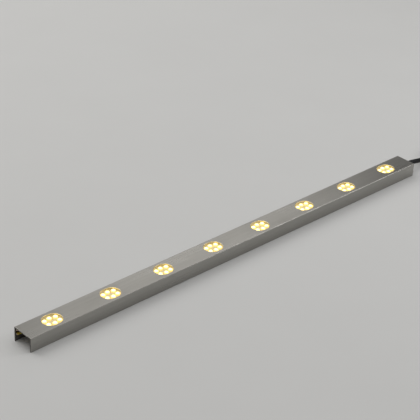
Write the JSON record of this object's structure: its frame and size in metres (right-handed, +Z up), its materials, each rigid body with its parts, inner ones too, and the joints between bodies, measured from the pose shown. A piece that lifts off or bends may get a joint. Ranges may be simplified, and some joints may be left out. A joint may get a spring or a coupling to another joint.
{
  "type": "led light bar",
  "caption": "Rigid LED light bar: slim upside-down U aluminium channel with a row of oval windows over warm-white LED groups, open ends, and a black supply lead with a barrel plug.",
  "frame": {"origin": "middle of the bar's length and width, on the surface that the channel's two legs stand on", "axes": "+X along the bar towards the supply lead, +Z up through the windows, +Y towards the wall that carries the two supply wires"},
  "size_m": [0.7084, 0.039, 0.0161],
  "materials": {
    "anodised_aluminium": "satin, brushed along the length and clear anodised",
    "led_epoxy": "clear epoxy, lit warm white",
    "circuit_board": "white solder mask over glass fibre",
    "white_plastic": "fine moulded",
    "resistor_body": "lacquered",
    "red_pvc": "soft extruded",
    "yellow_pvc": "soft extruded",
    "black_pvc": "soft extruded, slightly glossy",
    "black_plastic": "moulded",
    "plated_steel": "nickel plated"
  },
  "bodies": {
    "root": {"channel": "anodised_aluminium", "led_board_1": "circuit_board", "led_board_2": "circuit_board", "led_board_3": "circuit_board", "led_board_4": "circuit_board", "led_board_5": "circuit_board", "led_board_6": "circuit_board", "led_board_7": "circuit_board", "led_board_8": "circuit_board", "led_cluster_1": "led_epoxy", "led_cluster_2": "led_epoxy", "led_cluster_3": "led_epoxy", "led_cluster_4": "led_epoxy", "led_cluster_5": "led_epoxy", "led_cluster_6": "led_epoxy", "led_cluster_7": "led_epoxy", "led_cluster_8": "led_epoxy", "led_holder_1": "white_plastic", "led_holder_2": "white_plastic", "led_holder_3": "white_plastic", "led_holder_4": "white_plastic", "led_holder_5": "white_plastic", "led_holder_6": "white_plastic", "led_holder_7": "white_plastic", "led_holder_8": "white_plastic", "resistor_a_1": "resistor_body", "resistor_a_2": "resistor_body", "resistor_a_3": "resistor_body", "resistor_a_4": "resistor_body", "resistor_a_5": "resistor_body", "resistor_a_6": "resistor_body", "resistor_a_7": "resistor_body", "resistor_a_8": "resistor_body", "resistor_b_1": "resistor_body", "resistor_b_2": "resistor_body", "resistor_b_3": "resistor_body", "resistor_b_4": "resistor_body", "resistor_b_5": "resistor_body", "resistor_b_6": "resistor_body", "resistor_b_7": "resistor_body", "resistor_b_8": "resistor_body", "red_wire": "red_pvc", "yellow_wire": "yellow_pvc", "cable_clamp_base": "black_plastic", "cable_clamp_strap": "black_plastic", "clamp_screw_1": "plated_steel", "clamp_screw_2": "plated_steel", "cable": "black_pvc", "cable_hank": "black_pvc", "cable_tail": "black_pvc", "hank_tie": "black_plastic", "plug_boot": "black_pvc", "plug_body": "black_plastic", "plug_barrel": "plated_steel", "plug_insulator": "black_plastic"}
  },
  "joints": []
}
